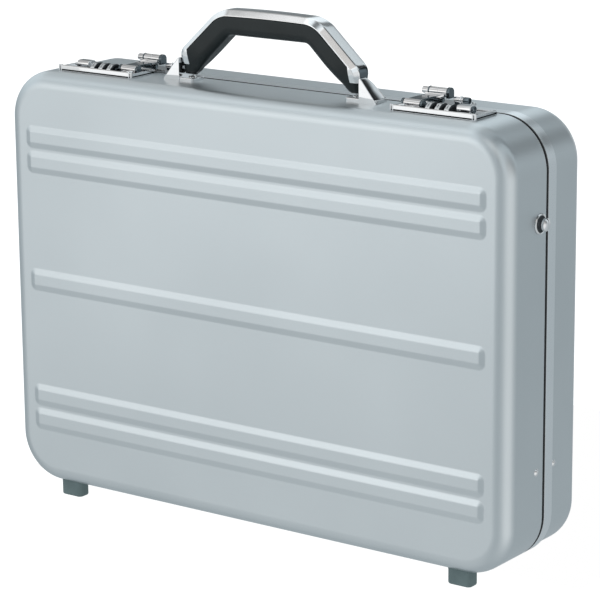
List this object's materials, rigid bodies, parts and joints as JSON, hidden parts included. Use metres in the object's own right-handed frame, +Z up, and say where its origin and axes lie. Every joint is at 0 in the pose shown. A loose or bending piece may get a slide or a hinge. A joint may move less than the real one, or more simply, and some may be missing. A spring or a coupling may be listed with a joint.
{
  "type": "aluminum attache case",
  "caption": "Hinged ribbed aluminium attache case on rubber feet, with a folding handle, spring-slide dial locks, hasps, lid stays and strap studs.",
  "frame": {"origin": "centre of the footprint, on the plane of the feet, midway between front and back panels", "axes": "+X to the right seen from the front, along the case's width; +Y from the front (base) panel to the back (lid) panel; +Z up"},
  "size_m": [0.471, 0.1076, 0.4],
  "materials": {
    "shell_aluminium": "bead-blasted satin anodised",
    "rim_aluminium": "satin anodised extrusion",
    "bright_chrome": "polished chrome plate",
    "dial_metal": "knurled nickel",
    "steel": "zinc-plated steel",
    "grip": "satin black moulding",
    "foot_rubber": "matt grey rubber",
    "seal": "matt black rubber",
    "lining": "woven lining on board",
    "pocket_fabric": "woven nylon"
  },
  "bodies": {
    "base": {"base_shell": "shell_aluminium", "base_rim": "rim_aluminium", "base_liner": "lining", "hinge_base_leaf": "steel", "hinge_pin": "steel", "hinge_base_rivets": "steel", "base_foot_left": "foot_rubber", "base_foot_right": "foot_rubber", "base_foot_rivets": "steel", "strap_stud_left": "bright_chrome", "strap_stud_right": "bright_chrome", "base_stay_rivets": "bright_chrome", "bracket_left": "bright_chrome", "bracket_right": "bright_chrome", "bracket_screws": "steel", "handle_pins": "steel", "lock_plate_left": "bright_chrome", "lock_plate_right": "bright_chrome", "lock_case_left": "steel", "lock_case_right": "steel", "lock_screws": "bright_chrome", "hasp_pins": "steel", "dial_axles": "steel"},
    "lid": {"lid_shell": "shell_aluminium", "lid_rim": "rim_aluminium", "lid_seal": "seal", "lid_liner": "lining", "document_pocket": "pocket_fabric", "hinge_lid_leaf": "steel", "hinge_lid_rivets": "steel", "lid_foot_left": "foot_rubber", "lid_foot_right": "foot_rubber", "lid_foot_rivets": "steel", "lid_stay_rivets": "bright_chrome", "catch_left": "bright_chrome", "catch_right": "bright_chrome", "catch_rivets": "bright_chrome"},
    "stay_base_link_left": {"stay_base_link_left": "steel"},
    "stay_base_link_right": {"stay_base_link_right": "steel"},
    "stay_lid_link_left": {"stay_lid_link_left": "steel"},
    "stay_lid_link_right": {"stay_lid_link_right": "steel"},
    "handle": {"handle_grip": "grip", "handle_trim": "bright_chrome", "handle_core": "steel"},
    "hasp_left": {"hasp_left": "bright_chrome"},
    "hasp_right": {"hasp_right": "bright_chrome"},
    "slide_left": {"slide_left": "bright_chrome"},
    "slide_right": {"slide_right": "bright_chrome"},
    "dial_left_1": {"dial_left_1": "dial_metal"},
    "dial_left_2": {"dial_left_2": "dial_metal"},
    "dial_left_3": {"dial_left_3": "dial_metal"},
    "dial_right_1": {"dial_right_1": "dial_metal"},
    "dial_right_2": {"dial_right_2": "dial_metal"},
    "dial_right_3": {"dial_right_3": "dial_metal"}
  },
  "joints": [
    {"name": "lid_hinge", "type": "hinge", "parent": "base", "child": "lid", "pos_m": [0, -0.0021, 0.0095], "axis": [-1, 0, 0], "range_deg": [0, 95]},
    {"name": "stay_base_left", "type": "hinge", "parent": "base", "child": "stay_base_link_left", "pos_m": [-0.2215, -0.0113, 0.0858], "axis": [-1, 0, 0], "range_deg": [0, 103]},
    {"name": "stay_lid_left", "type": "hinge", "parent": "lid", "child": "stay_lid_link_left", "pos_m": [-0.2201, 0.0152, 0.0858], "axis": [-1, 0, 0], "range_deg": [-97, 0]},
    {"name": "stay_base_right", "type": "hinge", "parent": "base", "child": "stay_base_link_right", "pos_m": [0.2215, -0.0113, 0.0858], "axis": [-1, 0, 0], "range_deg": [0, 103]},
    {"name": "stay_lid_right", "type": "hinge", "parent": "lid", "child": "stay_lid_link_right", "pos_m": [0.2201, 0.0152, 0.0858], "axis": [-1, 0, 0], "range_deg": [-97, 0]},
    {"name": "handle_swing", "type": "hinge", "parent": "base", "child": "handle", "pos_m": [0, -0.014, 0.3515], "axis": [1, 0, 0], "range_deg": [-85, 85]},
    {"name": "hasp_left_flip", "type": "hinge", "parent": "base", "child": "hasp_left", "pos_m": [-0.1295, -0.022, 0.3465], "axis": [1, 0, 0], "range_deg": [0, 75]},
    {"name": "slide_left_push", "type": "slide", "parent": "base", "child": "slide_left", "axis": [-1, 0, 0], "range_m": [0, 0.005], "stiffness_N_per_m": 250},
    {"name": "dial_left_1_turn", "type": "hinge", "parent": "base", "child": "dial_left_1", "pos_m": [-0.1455, -0.022, 0.3415], "axis": [1, 0, 0], "continuous": true},
    {"name": "dial_left_2_turn", "type": "hinge", "parent": "base", "child": "dial_left_2", "pos_m": [-0.1535, -0.022, 0.3415], "axis": [1, 0, 0], "continuous": true},
    {"name": "dial_left_3_turn", "type": "hinge", "parent": "base", "child": "dial_left_3", "pos_m": [-0.1615, -0.022, 0.3415], "axis": [1, 0, 0], "continuous": true},
    {"name": "hasp_right_flip", "type": "hinge", "parent": "base", "child": "hasp_right", "pos_m": [0.1295, -0.022, 0.3465], "axis": [1, 0, 0], "range_deg": [0, 75]},
    {"name": "slide_right_push", "type": "slide", "parent": "base", "child": "slide_right", "axis": [1, 0, 0], "range_m": [0, 0.005], "stiffness_N_per_m": 250},
    {"name": "dial_right_1_turn", "type": "hinge", "parent": "base", "child": "dial_right_1", "pos_m": [0.1455, -0.022, 0.3415], "axis": [1, 0, 0], "continuous": true},
    {"name": "dial_right_2_turn", "type": "hinge", "parent": "base", "child": "dial_right_2", "pos_m": [0.1535, -0.022, 0.3415], "axis": [1, 0, 0], "continuous": true},
    {"name": "dial_right_3_turn", "type": "hinge", "parent": "base", "child": "dial_right_3", "pos_m": [0.1615, -0.022, 0.3415], "axis": [1, 0, 0], "continuous": true}
  ],
  "couplings": [
    {"joint": "stay_base_left", "follows": "lid_hinge", "ratio": 1.0708},
    {"joint": "stay_lid_left", "follows": "lid_hinge", "ratio": -0.9996},
    {"joint": "stay_base_right", "follows": "lid_hinge", "ratio": 1.0708},
    {"joint": "stay_lid_right", "follows": "lid_hinge", "ratio": -0.9996}
  ]
}
